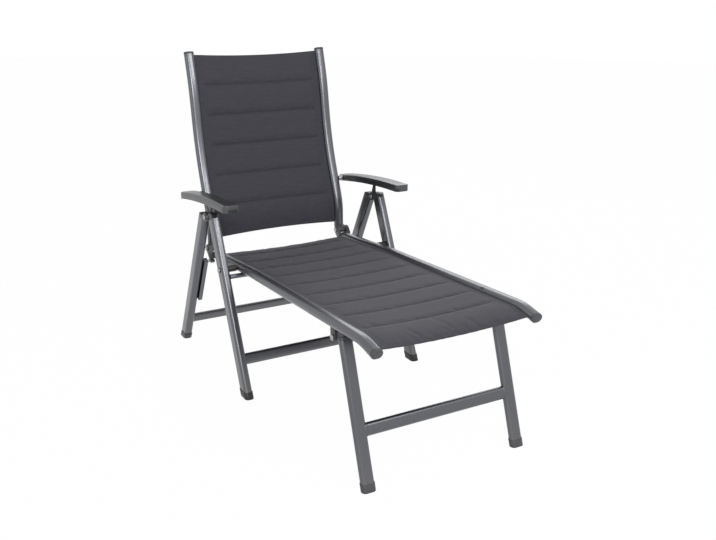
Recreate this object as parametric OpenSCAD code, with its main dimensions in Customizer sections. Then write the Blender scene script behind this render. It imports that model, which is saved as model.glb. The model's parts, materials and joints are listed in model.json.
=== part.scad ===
// Folding sun lounger with a quilted sling seat, a reclining sling back and arched armrests.
// Millimetres. X runs across, the foot end points to -Y, the feet stand on Z = 0.
// "left" is the -X side and "right" the +X side, as seen from the foot end.
// A side place is a pair [y, z]. A heading is an angle from +Z towards +Y.

/* [Seat frame] */
// Distance from the middle to the centre line of each seat rail
seat_half = 262; // [240:1:290]
// Place of the leg pivot behind the middle of the lounger
pivot_y = 231; // [215:1:245]
// Height of the leg pivot above the floor
pivot_height = 393; // [380:1:405]
// Rise of the rear part of the seat rails towards the foot end, in degrees
rail_slope = 4.6; // [3.5:0.1:5.5]
// Straight length of a seat rail behind the leg pivot
rail_rear = 224; // [215:1:232]
// Straight length of a seat rail in front of the leg pivot
rail_mid = 110; // [100:1:120]
// Radius of the slight bend in front of the leg pivot
ease_r = 900; // [700:50:1500]
// Angle of that bend
ease_angle = 1.9; // [1:0.1:3]
// Straight length between the two bends of a seat rail
rail_front = 667; // [640:1:690]
// Radius of the bend towards the foot end
knee_r = 230; // [180:5:280]
// Angle of the bend towards the foot end
knee_angle = 15; // [10:1:20]
// Straight length of a seat rail past the bend
nose_length = 34; // [24:1:50]
// Width of the sling rails across the lounger
rail_w = 36; // [34:0.5:38]
// Depth of the sling rails
rail_d = 28; // [26:0.5:29]
// Wall of the sling rails
rail_wall = 1.6; // [1.2:0.1:2]
// Bore of the channel that holds the edge rod of the sling
channel_bore = 6.4; // [6:0.1:7]
// Slit of the channel
channel_slit = 3; // [2.6:0.1:3.4]

/* [Back frame] */
// Distance from the middle to the centre line of each back rail
back_half = 261; // [258:0.5:262]
// Place of the back hinge behind the rear end of the seat rail
hinge_back = 28; // [26:0.5:31]
// Height of the back hinge over the rear end of the seat rail
hinge_up = 21; // [19:0.5:23]
// Place of the lower end of a back rail behind the hinge
back_offset = 17; // [15:0.5:18]
// Height of the lower end of a back rail over the hinge
back_start = 17; // [16:0.5:20]
// Lean of the lower end of the back rail, in degrees
back_lean = 1; // [0:0.5:3]
// Straight length at the lower end of a back rail
back_low = 48; // [44:1:54]
// Radius of the bend at the small of the back
back_low_r = 196; // [170:1:220]
// Angle of the bend at the small of the back
back_low_turn = 21; // [18:0.5:24]
// Straight length over that bend
back_mid = 85; // [75:1:95]
// Radius of the long sweep behind the shoulders
back_sweep_r = 1123; // [1000:1:1300]
// Angle of the long sweep
back_sweep_turn = 12.5; // [10:0.5:14]
// Straight length over the sweep
back_high = 60; // [50:1:70]
// Radius of the bend under the head
back_head_r = 900; // [800:1:1000]
// Angle of the bend under the head
back_head_turn = 7; // [5:0.5:9]
// Straight length at the top of a back rail
back_top = 60; // [45:1:70]
// Recline of the back, in degrees
recline_max = 52; // [48:1:54]

/* [Legs] */
// Distance from the middle to the centre line of each front leg
front_half = 325; // [322:1:330]
// Distance from the middle to the centre line of each rear leg
rear_half = 330; // [327:1:335]
// Width of the front and rear legs across the lounger
leg_w = 28; // [26:0.5:30]
// Depth of the front and rear legs along the lounger
leg_d = 48; // [44:0.5:50]
// Corner radius of the legs
leg_corner = 10; // [8:0.5:12]
// Wall of the legs
leg_wall = 1.5; // [1.2:0.1:2]
// Place of the front feet behind the middle of the lounger
front_foot_y = 52; // [40:1:64]
// Place of the rear feet behind the middle of the lounger
rear_foot_y = 653; // [640:1:666]
// Place of the leg joint behind the leg pivot
top_back = 106; // [102:0.5:110]
// Height of the leg joint over the leg pivot
top_up = 160; // [157:0.5:165]
// Distance of the rear leg's centre line from the leg joint
rear_offset = 35.8; // [35:0.1:38]
// Place of the guide pin in front of the rear end of the seat rail
slide_front = 2; // [0:0.5:4]
// Depth of the guide pin under the rear end of the seat rail
slide_down = 17.5; // [16.5:0.5:19]
// Fold of the front legs, in degrees
fold_max = 90; // [84:1:90]
// Height of the front cross bar
front_bar_z = 113; // [95:1:140]
// Height of the rear cross bar
rear_bar_z = 88; // [80:1:120]
// Height of the cross bar sections
bar_d = 38; // [34:1:40]
// Thickness of the cross bar sections
bar_w = 20; // [18:1:22]

/* [Foot legs] */
// Distance from the middle to the centre line of each foot leg
foot_half = 256; // [250:1:258]
// Width of a foot leg across the lounger
foot_leg_w = 41; // [36:1:42]
// Thickness of a foot leg
foot_leg_d = 21; // [18:1:23]
// Place of the foot leg feet in front of the middle of the lounger
foot_foot_y = 630; // [615:1:645]
// Distance along the seat rail from its nose end to the foot leg pivot
foot_pivot_s = 232; // [222:1:240]
// Depth of the foot leg pivot under the centre line of the seat rail
foot_pivot_drop = 46; // [42:1:50]
// Distance from the foot leg pivot to the centre line of the leg
foot_pivot_offset = 58; // [52:1:62]
// Height of the foot cross bar
foot_bar_z = 156; // [130:1:190]

/* [Armrests] */
// Distance from the middle to the centre line of each armrest
arm_half = 324; // [322:0.5:326]
// Width of an armrest
arm_w = 54; // [50:1:56]
// Thickness of an armrest
arm_t = 24; // [22:0.5:26]
// Radius of the arch along an armrest
arm_r = 2560; // [2200:10:3000]
// Length of an armrest in front of its pivot
arm_front = 401; // [396:1:415]
// Length of an armrest behind its pivot
arm_rear = 36; // [30:1:40]
// Height of an armrest's top over its pivot
arm_top = 12.5; // [12:0.5:14]
// Distance along the back rail from its lower end to the armrest pivot
arm_pivot_s = 180; // [176:1:184]
// Place of the latch pin in front of the leg joint
latch_front = 6; // [4:0.5:8]
// Height of the latch pin over the leg joint
latch_up = 54; // [52:0.5:56]
// Steps of the armrest rack
notch_count = 7; // [5:1:8]

/* [Sling] */
// Thickness of the quilted sling at the crown of a panel
sling_t = 11; // [8:0.5:13]
// Seams across the seat sling
seat_seams = 9; // [7:1:10]
// Distance between two seams of the seat sling
seat_pitch = 114.7; // [100:0.1:130]
// Distance from the last seam of the seat sling to the rails' foot ends
seat_seam_end = 140; // [120:1:160]
// Seams across the back sling
back_seams = 5; // [4:1:6]
// Distance between two seams of the back sling
back_pitch = 110.3; // [100:0.1:130]
// Distance from the top seam of the back sling to the rails' top ends
back_seam_end = 109; // [100:1:120]

/* [Hidden] */
$fn = 48;
$grow = 0;           // growth of a swept section
round_fn = 36;      // facets of the round parts of a section

// Small sizes shared by many pieces
run = 0.05;          // radial clearance of a pin in its bore
gap = 0.3;           // gap between seated pieces
over = 1;            // overrun of a cut
merge = 1;           // overlap of a straight step with the bend that follows it
bend_grow = 0.05;    // a bend is drawn larger by this, so that it takes in the ends of its neighbours
arc_fn = 480;        // facets of a long arc in a full turn
bolt_r = 5;          // pivot bolts
pin_r = 4;           // guide, latch and armrest pins
head_r = 9;          // heads of the bolts and pins
head_t = 4.5;        // thickness of the heads
plug = 26;           // length of a plug inside a tube
cap_t = 8;           // thickness of an end cap
boot_h = 22;         // height of a foot boot
boot_wall = 1.6;     // wall of a foot boot
boot_floor = 5;      // floor of a foot boot
lug_r = 14;          // lugs round the hinge pins
lug_w = 9;           // width of a hinge lug
lap_r = 15;          // lobes of the leg joint
lap_w = 8.8;         // width of the front lobe of the leg joint
lap_gap = 0.35;      // gap between a leg's top and the lobe round the leg joint
strap_t = 4;         // thickness of the latch strap
strap_w = 9.4;       // width of the latch strap
stop_r = 8;          // radius of the stop tube
stop_gap = 0.4;      // gap between the stop tube and the rail
tube_wall = 1.5;     // wall of round tubes
track_wall = 3;      // walls of the guide track
track_slot = 14;     // inner width of the guide track
track_h = 14;        // height of the guide track over the leg
spreader_r = 8;      // radius of the spreader tubes
rod_gap = 0.4;       // gap between an edge rod and its channel
arm_wall = 3;        // walls of the armrest
arm_ceiling = 3.5;   // top wall of the armrest
arm_round = 8;       // rounding of the armrest's top edges
arm_corner = 18;     // rounding of the armrest's plan corners
boss_r = 9;          // boss round the armrest bolt
rack_w = 6;          // width of a rack rib
rack_x = 12;         // distance of a rack rib from the armrest's middle
tooth_h = 5;         // greatest height of a rack tooth
tooth_w = 11;        // width of a rack tooth at its root
tooth_tip = 4;       // width of a rack tooth at its tip
sling_edge = 1.8;    // thickness of the sling in the rail slit
sling_plain = 4;     // thickness of the sling at seams and borders
sling_end_gap = 2;   // distance from a rail's end to the sling
plate_t = 8;         // thickness of the foot leg plates
ear_t = 4.2;         // thickness of the foot leg bracket ears
foot_lug_r = 13;     // lobes round the foot leg pivots

// Side geometry helpers
function dir(h) = [sin(h), cos(h)];
function nrm(h) = [cos(h), -sin(h)];
function to_local(q, p, h) = [(q - p) * nrm(h), (q - p) * dir(h)];
function turn_side(v, a) = [v[0] * cos(a) - v[1] * sin(a), v[0] * sin(a) + v[1] * cos(a)];
function bend_end(p, h, t, r) = p + r * sign(t) * [cos(h) - cos(h + t), sin(h + t) - sin(h)];
// Place and heading at distance s along a run of [straight, turn, radius] steps
function run_at(s, steps, p, h, i = 0) =
    let(st = steps[i], a = st[2] * abs(st[1]) * PI / 180, q = p + st[0] * dir(h))
    (s <= st[0] || (i == len(steps) - 1 && st[1] == 0)) ? [p + s * dir(h), h]
    : (s <= st[0] + a || i == len(steps) - 1)
        ? let(t = sign(st[1]) * (s - st[0]) / st[2] * 180 / PI) [bend_end(q, h, t, st[2]), h + t]
        : run_at(s - st[0] - a, steps, bend_end(q, h, st[1], st[2]), h + st[1], i + 1);
function run_length(steps, i = 0) = i == len(steps) ? 0
    : steps[i][0] + steps[i][2] * abs(steps[i][1]) * PI / 180 + run_length(steps, i + 1);

// Main places
P = [pivot_y, pivot_height];
rail_h = rail_slope - 90;
rail_start = P - rail_rear * dir(rail_h);
rail_steps = [[rail_rear + rail_mid, -ease_angle, ease_r], [rail_front, -knee_angle, knee_r],
    [nose_length, 0, knee_r]];
rail_length = run_length(rail_steps);
H = rail_start + [hinge_back, hinge_up];
S = rail_start - [slide_front, slide_down];
T = P + [top_back, top_up];
latch = T + [-latch_front, latch_up];
back_start_p = H + [back_offset, back_start];
back_steps = [[back_low, back_low_turn, back_low_r], [back_mid, -back_sweep_turn, back_sweep_r],
    [back_high, back_head_turn, back_head_r], [back_top, 0, back_head_r]];
back_length = run_length(back_steps);
A = run_at(arm_pivot_s, back_steps, back_start_p, back_lean)[0];
front_foot = [front_foot_y, 0];
front_h = atan2(P[0] - front_foot[0], P[1]);
rear_foot = [rear_foot_y, 0];
rear_h = atan2(T[0] - rear_foot[0], T[1]) + asin(rear_offset / norm(T - rear_foot));
T_front = to_local(T, front_foot, front_h);
T_rear = to_local(T, rear_foot, rear_h);
S_rear = to_local(S, rear_foot, rear_h);
front_top = T_front[1] - lap_r - gap - lap_gap;
rear_top = T_rear[1] - 2 * lap_r - gap;
foot_foot = [-foot_foot_y, 0];
foot_rail_at = run_at(rail_length - foot_pivot_s, rail_steps, rail_start, rail_h);
foot_rail = foot_rail_at[0];
foot_rail_h = foot_rail_at[1];
F = foot_rail - foot_pivot_drop * nrm(foot_rail_h);
foot_h = atan2(F[0] - foot_foot[0], F[1]) - asin(foot_pivot_offset / norm(F - foot_foot));
F_leg = to_local(F, foot_foot, foot_h);

// Motion of the rear leg: its slot line keeps a fixed distance from the leg joint
slot_off = T_rear[0] - S_rear[0];
function T_at(a) = P + turn_side(T - P, a);
slot_far = sqrt(pow(norm(S - T_at(fold_max)), 2) - slot_off * slot_off);
slot_near = T_rear[1] - S_rear[1];

// Motion of the armrest: it turns in step with the back and its rack slides over the latch pin
function A_at(a) = H + turn_side(A - H, -a);
function lift_of(v) = atan2(v[1], -v[0]);
lift_0 = lift_of(latch - A);
lift_max = lift_of(latch - A_at(recline_max)) - lift_0;
function pin_seen(a) = A + turn_side(latch - A_at(a), lift_max * a / recline_max);
function pin_reach(a) = norm(pin_seen(a) - A);
function pin_drop(a) = pin_reach(a) * sin(lift_0 - lift_of(pin_seen(a) - A));

// Flat outlines
module stadium(w, d) {
    r = min(w, d) / 2;
    union() {
        square([w - 2 * r + (w > d ? 0 : 2 * r), d - 2 * r + (w > d ? 2 * r : 0)], center = true);
        for (k = [-1, 1]) translate(k * [w / 2 - r, d / 2 - r]) circle(r = r, $fn = round_fn);
    }
}
module round_box(w, d, r) {
    union() {
        square([w - 2 * r, d], center = true);
        square([w, d - 2 * r], center = true);
        for (i = [-1, 1]) for (j = [-1, 1]) translate([i * (w / 2 - r), j * (d / 2 - r)])
            circle(r = r, $fn = round_fn);
    }
}
module ring(w, d, wall) {
    difference() {
        stadium(w + 2 * $grow, d + 2 * $grow);
        stadium(w - 2 * wall - 2 * $grow, d - 2 * wall - 2 * $grow);
    }
}
module grown(g) {
    $grow = g;
    children();
}
// Two circles joined by their outer tangents
module link(a, ra, b, rb) {
    t = atan2(b[1] - a[1], b[0] - a[0]);
    k = acos((ra - rb) / norm(b - a));
    union() {
        translate(a) circle(r = ra);
        translate(b) circle(r = rb);
        polygon([a + ra * [cos(t + k), sin(t + k)], a + ra * [cos(t - k), sin(t - k)],
            b + rb * [cos(t - k), sin(t - k)], b + rb * [cos(t + k), sin(t + k)]]);
    }
}
// Section of a sling rail, with its channel on the -x side
module rail_section() {
    c = channel_bore / 2 + rail_wall / 2 - rail_w / 2;
    difference() {
        intersection() {
            stadium(rail_w + 2 * $grow, rail_d + 2 * $grow);
            union() {
                ring(rail_w, rail_d, rail_wall);
                translate([c, 0]) circle(d = channel_bore + 2 * rail_wall + 2 * $grow, $fn = round_fn);
            }
        }
        translate([c, 0]) circle(d = channel_bore - 2 * $grow, $fn = round_fn);
        translate([-rail_w / 2 - over, $grow - channel_slit / 2])
            square([c + rail_w / 2 + over, channel_slit - 2 * $grow]);
    }
}
channel_x = channel_bore / 2 + rail_wall / 2 - rail_w / 2;

// Placing helpers
module on_side(s) mirror([s < 0 ? 1 : 0, 0, 0]) children();
module both_sides() for (s = [-1, 1]) on_side(s) children();
// A side outline extruded from x0 to x1
module slab(x0, x1) translate([x0, 0, 0]) rotate([90, 0, 90]) linear_extrude(x1 - x0) children();
// Local Z along a heading from a side place
module along(p, h) translate([0, p[0], p[1]]) rotate([-h, 0, 0]) children();
module side_pin(p, r, x0, x1) translate([x0, p[0], p[1]]) rotate([0, 90, 0]) cylinder(r = r, h = x1 - x0);
// A section swept along a run of straight and bent steps
module sweep(steps, p, h, i = 0) {
    st = steps[i];
    q = p + st[0] * dir(h);
    low = i == 0 ? 0 : merge;
    high = st[1] == 0 ? 0 : merge;
    along(p, h) translate([0, 0, -low]) linear_extrude(st[0] + low + high) children();
    if (st[1] != 0)
        along(q, h) mirror([0, st[1] < 0 ? 1 : 0, 0]) translate([0, st[2], 0]) rotate([90, 0, -90])
            rotate_extrude(angle = abs(st[1]), $fn = arc_fn) translate([st[2], 0]) mirror([1, 0])
                rotate(-90) grown(bend_grow) children();
    if (i < len(steps) - 1) sweep(steps, bend_end(q, h, st[1], st[2]), h + st[1], i + 1) children();
}
module rail_sweep() translate([seat_half, 0, 0]) sweep(rail_steps, rail_start, rail_h) children();
module back_sweep() translate([back_half, 0, 0]) sweep(back_steps, back_start_p, back_lean) children();

// Seat frame
module seat_rail() {
    difference() {
        rail_sweep() rail_section();
        side_pin(P, bolt_r + run, seat_half, seat_half + rail_w);
    }
}
module seat_rail_left() color("silver") on_side(-1) seat_rail();
module seat_rail_right() color("silver") on_side(1) seat_rail();
module rail_cap(steps, p, h, half) {
    e = run_at(run_length(steps), steps, p, h);
    translate([half, 0, 0]) along(e[0], e[1]) union() {
        linear_extrude(cap_t) stadium(rail_w, rail_d);
        translate([0, 0, -plug])
            linear_extrude(plug + over) translate([channel_bore / 2 + rail_wall, 0])
                stadium(rail_w - channel_bore - 5 * rail_wall - gap, rail_d - 2 * rail_wall - gap - channel_bore);
    }
}
module seat_nose_caps() color("dimgray") both_sides() rail_cap(rail_steps, rail_start, rail_h, seat_half);

// Space that a rail's lower end and its rod take up, wider than the rail
module end_block(p, h, half) translate([half, 0, 0]) along(p, h) linear_extrude(plug)
    square([rail_w + 2 * lug_w + 2 * over, rail_d + over], center = true);

// Bracket at the rear end of a seat rail: a plug, two lugs round the back hinge and a lobe for the guide pin
module seat_hinge_bracket() {
    inner = seat_half - rail_w / 2;
    outer = seat_half + rail_w / 2;
    lug_in = back_half - rail_w / 2 - gap - run;
    neck = rail_start + (rail_d / 2) * [cos(rail_slope), -sin(rail_slope)] / 2;
    difference() {
        union() {
            translate([seat_half, 0, 0]) along(rail_start, rail_h) translate([0, 0, -cap_t]) linear_extrude(cap_t)
                stadium(rail_w, rail_d);
            translate([seat_half + channel_bore / 2 + rail_wall, 0, 0]) along(rail_start, rail_h)
                linear_extrude(plug) stadium(rail_w - channel_bore - 5 * rail_wall - gap,
                    rail_d - 2 * rail_wall - gap - channel_bore);
            difference() {
                union() {
                    slab(inner - lug_w / 2, inner + lug_w / 2) link(neck, rail_d / 2 - over, H, lug_r);
                    slab(outer - lug_w / 2, outer + lug_w) link(neck, rail_d / 2 - over, H, lug_r);
                    slab(outer - lug_w / 2, outer + lug_w) link(neck, rail_d / 2 - over, S, pin_r + lug_w / 2);
                }
                end_block(rail_start, rail_h, seat_half);
            }
        }
        side_pin(H, bolt_r + run, inner - lug_w, outer + 2 * lug_w);
        side_pin(H, lug_r + back_offset / 2, inner + lug_w / 2, outer - lug_w / 2);
        side_pin(S, pin_r + run, outer - lug_w, outer + 2 * lug_w);
    }
}
module seat_hinge_bracket_left() color("gray") on_side(-1) seat_hinge_bracket();
module seat_hinge_bracket_right() color("gray") on_side(1) seat_hinge_bracket();
module guide_pins() color("dimgray") both_sides() union() {
    side_pin(S, pin_r, seat_half + rail_w / 2 - lug_w / 2, rear_half - leg_w / 2 - track_wall - over);
    side_pin(S, pin_r + over, seat_half + rail_w / 2 + lug_w + gap, rear_half - leg_w / 2 - track_h - over);
}

// Bowed tube between two rails. It hangs below the sling by its bow.
module bowed_tube(half, bow, r) {
    R = (half * half + bow * bow) / (2 * bow);
    b = asin(half / R);
    translate([0, 0, R - bow]) rotate([90, 0, 0]) rotate([0, 0, -90 - b])
        rotate_extrude(angle = 2 * b, $fn = arc_fn) translate([R, 0]) difference() {
            circle(r = r, $fn = round_fn);
            circle(r = r - tube_wall, $fn = round_fn);
        }
}
module seat_spreader(s, bow, drop) {
    at = run_at(s, rail_steps, rail_start, rail_h);
    difference() {
        along(at[0] - drop * nrm(at[1]), at[1] + 90) bowed_tube(seat_half - rail_w / 4, bow, spreader_r);
        both_sides() rail_sweep() stadium(rail_w + 2 * gap + 2 * $grow, rail_d + 2 * gap + 2 * $grow);
    }
}
spreader_drop = 12;  // depth of the seat spreaders' ends under the rail's centre line
seat_bow = 24;
front_spreader_s = 60;
rear_spreader_s = 34;
module seat_front_spreader() color("silver")
    seat_spreader(rail_length - front_spreader_s, seat_bow, spreader_drop);
module seat_rear_spreader() color("silver") seat_spreader(rear_spreader_s, seat_bow, spreader_drop);

// Quilted sling: a closed sheet between two rails, drawn in at the seams and sagging across.
// face is 1 where the used side lies on the normal's side, else -1.
panel_shares = [0, 0.08, 0.2, 0.35, 0.5, 0.65, 0.8, 0.92];
crown_shares = [0, 0.5, 0.8, 0.96, 1, 0.96, 0.8, 0.5];
column_shares = [-1, -0.96, -0.83, -0.79, -0.5, -0.17, 0.17, 0.5, 0.79, 0.83, 0.96, 1];
sling_up_share = 0.65;
// Lines across a sling as [distance, crown] pairs, several in each panel, from border to seam to border
function sling_lines(ends) = [for (i = [0 : len(ends) - 2]) for (k = [0 : len(panel_shares) - 1])
    [ends[i] + (ends[i + 1] - ends[i]) * panel_shares[k], crown_shares[k]], [ends[len(ends) - 1], 0]];
function seam_places(s0, s1, n, pitch, last) = [s0, for (i = [n - 1 : -1 : 0]) last - i * pitch, s1];
module sling(steps, p, h, half, ends, face, bow0, bow1, sag0, sag1) {
    rows = sling_lines(ends);
    s0 = ends[0];
    s1 = ends[len(ends) - 1];
    cols = column_shares;
    nu = len(rows);
    nv = len(cols);
    edge = half + channel_x - channel_bore / 2 + rod_gap - gap;
    function thick(u, v) = abs(v) > 0.99 ? sling_edge : abs(v) > 0.8 ? sling_plain
        : sling_plain + (sling_t - sling_plain) * u[1];
    function spot(u, v, up) =
        let(part = (u[0] - s0) / (s1 - s0),
            at = run_at(u[0] + (1 - v * v) * (bow0 * pow(1 - part, 4) - bow1 * pow(part, 4)), steps, p, h),
            sag = (sag0 + (sag1 - sag0) * pow(part, 3)) * (1 - v * v),
            t = thick(u, v),
            off = face * (up > 0 ? sling_up_share * t - sag : -(1 - sling_up_share) * t - sag),
            q = at[0] + (abs(v) > 0.99 ? face * up * t / 2 : off) * nrm(at[1]))
        [v * edge, q[0], q[1]];
    top = [for (u = rows) for (v = cols) spot(u, v, 1)];
    bottom = [for (u = rows) for (v = cols) spot(u, v, -1)];
    m = nu * nv;
    flip = face > 0;
    quads = [for (i = [0 : nu - 2]) for (j = [0 : nv - 2])
        let(a = i * nv + j) [a, a + nv, a + nv + 1, a + 1]];
    sides = concat(
        [for (j = [0 : nv - 2]) [j, j + 1]],
        [for (i = [0 : nu - 2]) [i * nv + nv - 1, (i + 1) * nv + nv - 1]],
        [for (j = [nv - 2 : -1 : 0]) [(nu - 1) * nv + j + 1, (nu - 1) * nv + j]],
        [for (i = [nu - 2 : -1 : 0]) [(i + 1) * nv, i * nv]]);
    function tri(q, back) = back ? [[q[2], q[1], q[0]], [q[3], q[2], q[0]]] : [[q[0], q[1], q[2]], [q[0], q[2], q[3]]];
    faces = concat(
        [for (q = quads) each tri(q, !flip)],
        [for (q = quads) each tri([for (k = q) k + m], flip)],
        [for (e = sides) each tri([e[0], e[1], e[1] + m, e[0] + m], !flip)]);
    polyhedron(points = concat(top, bottom), faces = faces);
}
seat_sag = 8;
seat_nose_sag = 18;
seat_edge_bow = 6;
seat_sling_low = 8;
back_sag = 6;
back_edge_bow = 7;
back_sling_low = 11;
module seat_sling() color([0.27, 0.27, 0.3])
    sling(rail_steps, rail_start, rail_h, seat_half,
        seam_places(sling_end_gap, rail_length - seat_sling_low, seat_seams, seat_pitch,
            rail_length - seat_seam_end), 1, seat_edge_bow, seat_edge_bow, seat_sag, seat_nose_sag);
module back_sling() color([0.27, 0.27, 0.3])
    sling(back_steps, back_start_p, back_lean, back_half,
        seam_places(back_sling_low, back_length - sling_end_gap, back_seams, back_pitch,
            back_length - back_seam_end), -1, back_edge_bow, back_edge_bow, back_sag, back_sag);
module seat_edge_rods() color("black") both_sides() rail_sweep()
    translate([channel_x, 0]) circle(r = channel_bore / 2 - rod_gap + $grow, $fn = round_fn);
module back_edge_rods() color("black") both_sides() back_sweep()
    translate([channel_x, 0]) circle(r = channel_bore / 2 - rod_gap + $grow, $fn = round_fn);

// Leg pivots on the seat rails
module leg_pivot_bolts() color("dimgray") both_sides() union() {
    side_pin(P, bolt_r, seat_half + rail_wall, front_half + leg_w / 2 + gap);
    side_pin(P, head_r, front_half + leg_w / 2 + gap, front_half + leg_w / 2 + gap + head_t);
}
bush_r = 11;
module leg_pivot_bushes() color("black") both_sides() difference() {
    side_pin(P, bush_r, seat_half + rail_w / 2 + gap, front_half - leg_w / 2 - gap);
    side_pin(P, bolt_r + run, seat_half, front_half);
}

// Foot legs with their brackets
plate_share = 0.7;
plate_r = foot_lug_r * plate_share;
plate_end = foot_foot + (F_leg[1] + foot_lug_r / 2) * dir(foot_h);
ear_x = foot_half - plate_t / 2 - gap;
module foot_leg_brackets() color("gray") both_sides() difference() {
    slab(ear_x - ear_t, ear_x + plate_t + 2 * gap + ear_t)
        link(foot_rail, foot_lug_r + over, F, foot_lug_r);
    slab(ear_x, ear_x + plate_t + 2 * gap) union() {
        link(F, foot_lug_r + over, F + (foot_lug_r + over) * nrm(foot_rail_h), foot_lug_r + over);
        link(F, foot_lug_r + over, F + foot_pivot_offset * dir(foot_rail_h), foot_lug_r + over);
        link(F, foot_lug_r + over, plate_end, plate_r + over);
    }
    rail_sweep() stadium(rail_w + gap + 2 * $grow, rail_d + gap + 2 * $grow);
    side_pin(F, bolt_r + run, ear_x - lug_w, ear_x + plate_t + 2 * lug_w);
}
foot_top = F_leg[1] - foot_lug_r / 2;
module foot_leg() intersection() {
    translate([foot_half, 0, 0]) along(foot_foot, foot_h) linear_extrude(foot_top)
        ring(foot_leg_w, foot_leg_d, leg_wall);
    translate([0, -seat_half * 4, boot_floor]) cube([seat_half * 2, seat_half * 4, pivot_height * 2]);
}
module foot_leg_left() color("silver") on_side(-1) foot_leg();
module foot_leg_right() color("silver") on_side(1) foot_leg();
module foot_leg_plates() color("gray") both_sides() difference() {
    union() {
        slab(foot_half - plate_t / 2, foot_half + plate_t / 2)
            link(F, foot_lug_r, plate_end, plate_r);
        translate([foot_half, 0, 0]) along(foot_foot, foot_h) union() {
            translate([0, 0, foot_top + gap]) linear_extrude(cap_t) stadium(foot_leg_w, foot_leg_d);
            translate([0, 0, foot_top - plug]) linear_extrude(plug + 2 * gap)
                stadium(foot_leg_w - 2 * leg_wall - gap, foot_leg_d - 2 * leg_wall - gap);
        }
    }
    side_pin(F, bolt_r + run, foot_half - plate_t, foot_half + plate_t);
}
module foot_leg_pivots() color("dimgray") both_sides() union() {
    side_pin(F, bolt_r, ear_x - ear_t - gap, ear_x + plate_t + 2 * gap + ear_t + gap);
    side_pin(F, head_r, ear_x - ear_t - gap - head_t, ear_x - ear_t - gap);
    side_pin(F, head_r, ear_x + plate_t + ear_t + 3 * gap, ear_x + plate_t + ear_t + 3 * gap + head_t);
}
// Cross bar between two legs whose centre line starts at foot and has heading h
module crossbar(foot, h, z, half) {
    c = foot + z / cos(h) * dir(h);
    slab(-half, half) translate(c) rotate(-h) ring(bar_w, bar_d, leg_wall);
}
module foot_crossbar() color("silver")
    crossbar(foot_foot, foot_h, foot_bar_z, foot_half - foot_leg_w / 2 - gap);
module foot_leg_boots() color("dimgray") both_sides() difference() {
    intersection() {
        translate([foot_half, 0, 0]) along(foot_foot, foot_h) translate([0, 0, -plug]) linear_extrude(3 * plug)
            stadium(foot_leg_w + 2 * boot_wall, foot_leg_d + 2 * boot_wall);
        translate([0, -seat_half * 4, 0]) cube([seat_half * 2, seat_half * 4, boot_h]);
    }
    intersection() {
        translate([foot_half, 0, 0]) along(foot_foot, foot_h) translate([0, 0, -plug]) linear_extrude(3 * plug)
            stadium(foot_leg_w + gap, foot_leg_d + gap);
        translate([0, -seat_half * 4, boot_floor - gap]) cube([seat_half * 2, seat_half * 4, boot_h]);
    }
}

// Front and rear legs
module leg_section(w, d) difference() {
    round_box(w, d, leg_corner);
    round_box(w - 2 * leg_wall, d - 2 * leg_wall, leg_corner - leg_wall);
}
module leg(foot, h, top, half) intersection() {
    translate([half, 0, 0]) along(foot, h) translate([0, 0, -plug]) linear_extrude(top + plug)
        leg_section(leg_w, leg_d);
    translate([0, -seat_half * 4, boot_floor]) cube([seat_half * 2, seat_half * 8, pivot_height * 2]);
}
module boot(foot, h, half) difference() {
    intersection() {
        translate([half, 0, 0]) along(foot, h) translate([0, 0, -2 * plug]) linear_extrude(4 * plug)
            round_box(leg_w + 2 * boot_wall, leg_d + 2 * boot_wall, leg_corner + boot_wall);
        translate([0, -seat_half * 4, 0]) cube([seat_half * 2, seat_half * 8, boot_h]);
    }
    intersection() {
        translate([half, 0, 0]) along(foot, h) translate([0, 0, -2 * plug]) linear_extrude(4 * plug)
            round_box(leg_w + gap, leg_d + gap, leg_corner + gap / 2);
        translate([0, -seat_half * 4, boot_floor - gap]) cube([seat_half * 2, seat_half * 8, boot_h]);
    }
}
module front_leg() difference() {
    leg(front_foot, front_h, front_top, front_half);
    side_pin(P, bolt_r + run, front_half - leg_w, front_half + leg_w);
}
module front_leg_left() color("silver") on_side(-1) front_leg();
module front_leg_right() color("silver") on_side(1) front_leg();
module front_boots() color("dimgray") both_sides() boot(front_foot, front_h, front_half);
// Plug and rounded head in the top of a leg
dome_r = 30;
head_rise = 22;
rear_head_rise = 14;
module leg_head(top, half, height) {
    translate([half, 0, top - plug]) linear_extrude(plug + 2 * gap)
        round_box(leg_w - 2 * leg_wall - gap, leg_d - 2 * leg_wall - gap, leg_corner - leg_wall);
    intersection() {
        translate([half, 0, top + gap]) linear_extrude(height) round_box(leg_w, leg_d, leg_corner);
        translate([0, 0, top + gap + height - dome_r]) rotate([0, 90, 0])
            cylinder(r = dome_r, h = half + leg_w, $fn = 4 * $fn);
    }
}
lap_x = front_half - leg_w / 2 + lap_w;
module front_leg_heads() color([0.35, 0.35, 0.37]) both_sides() difference() {
    union() {
        along(front_foot, front_h) leg_head(front_top, front_half, head_rise);
        slab(front_half - leg_w / 2, lap_x)
            link(front_foot + (front_top + head_rise / 2) * dir(front_h), head_rise / 2, T, lap_r);
    }
    side_pin(T, bolt_r + run, front_half - leg_w, front_half + leg_w);
    side_pin(T, lap_r + over, lap_x, front_half + leg_w);
    slab(lap_x, lap_x + strap_t + gap) link(T, lap_r + gap, latch, strap_w / 2 + gap);
}
module latch_straps() color("dimgray") both_sides() difference() {
    slab(lap_x + gap / 3, lap_x + gap / 3 + strap_t) link(T, lap_r, latch, strap_w / 2);
    side_pin(T, bolt_r + run, front_half - leg_w, front_half + leg_w);
    side_pin(latch, pin_r + run, front_half - leg_w, front_half + leg_w);
}
latch_reach = rack_x + rack_w / 2 + 2 * over;
module latch_pins() color("silver") both_sides()
    side_pin(latch, pin_r, arm_half - latch_reach, arm_half + latch_reach);
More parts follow.
